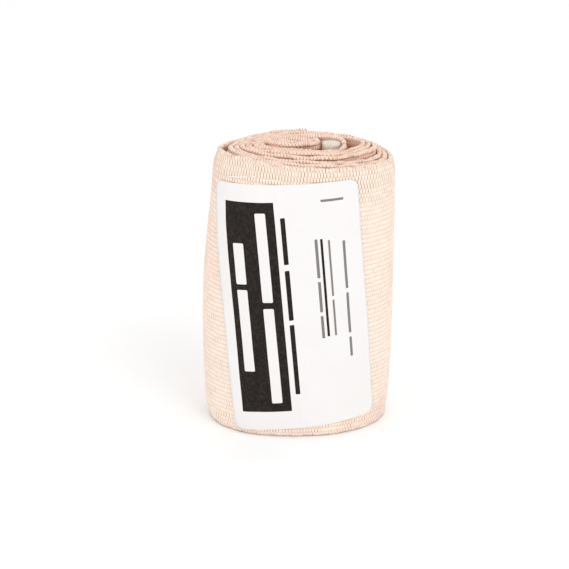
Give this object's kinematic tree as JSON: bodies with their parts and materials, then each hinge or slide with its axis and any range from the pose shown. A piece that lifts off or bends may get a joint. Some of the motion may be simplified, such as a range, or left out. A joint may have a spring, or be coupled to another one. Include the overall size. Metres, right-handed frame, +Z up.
{
  "type": "emergency trauma bandage",
  "caption": "Rolled woven elastic wound bandage standing on its edge, with a folded dressing pad in its core and a plain printed label on its front.",
  "frame": {"origin": "on the surface that the roll stands on, in the middle of its footprint", "axes": "+Z up the roll, along the band's width; the label faces -Y; +X to the right as seen from the front"},
  "size_m": [0.067, 0.0422, 0.1048],
  "materials": {
    "elastic_fabric": "woven crepe with narrow ribs along the band",
    "dressing": "soft non-woven pad",
    "label_paper": null
  },
  "bodies": {
    "root": {"elastic_wrap": "elastic_fabric", "absorbent_pad": "dressing", "label": "label_paper"}
  },
  "joints": []
}
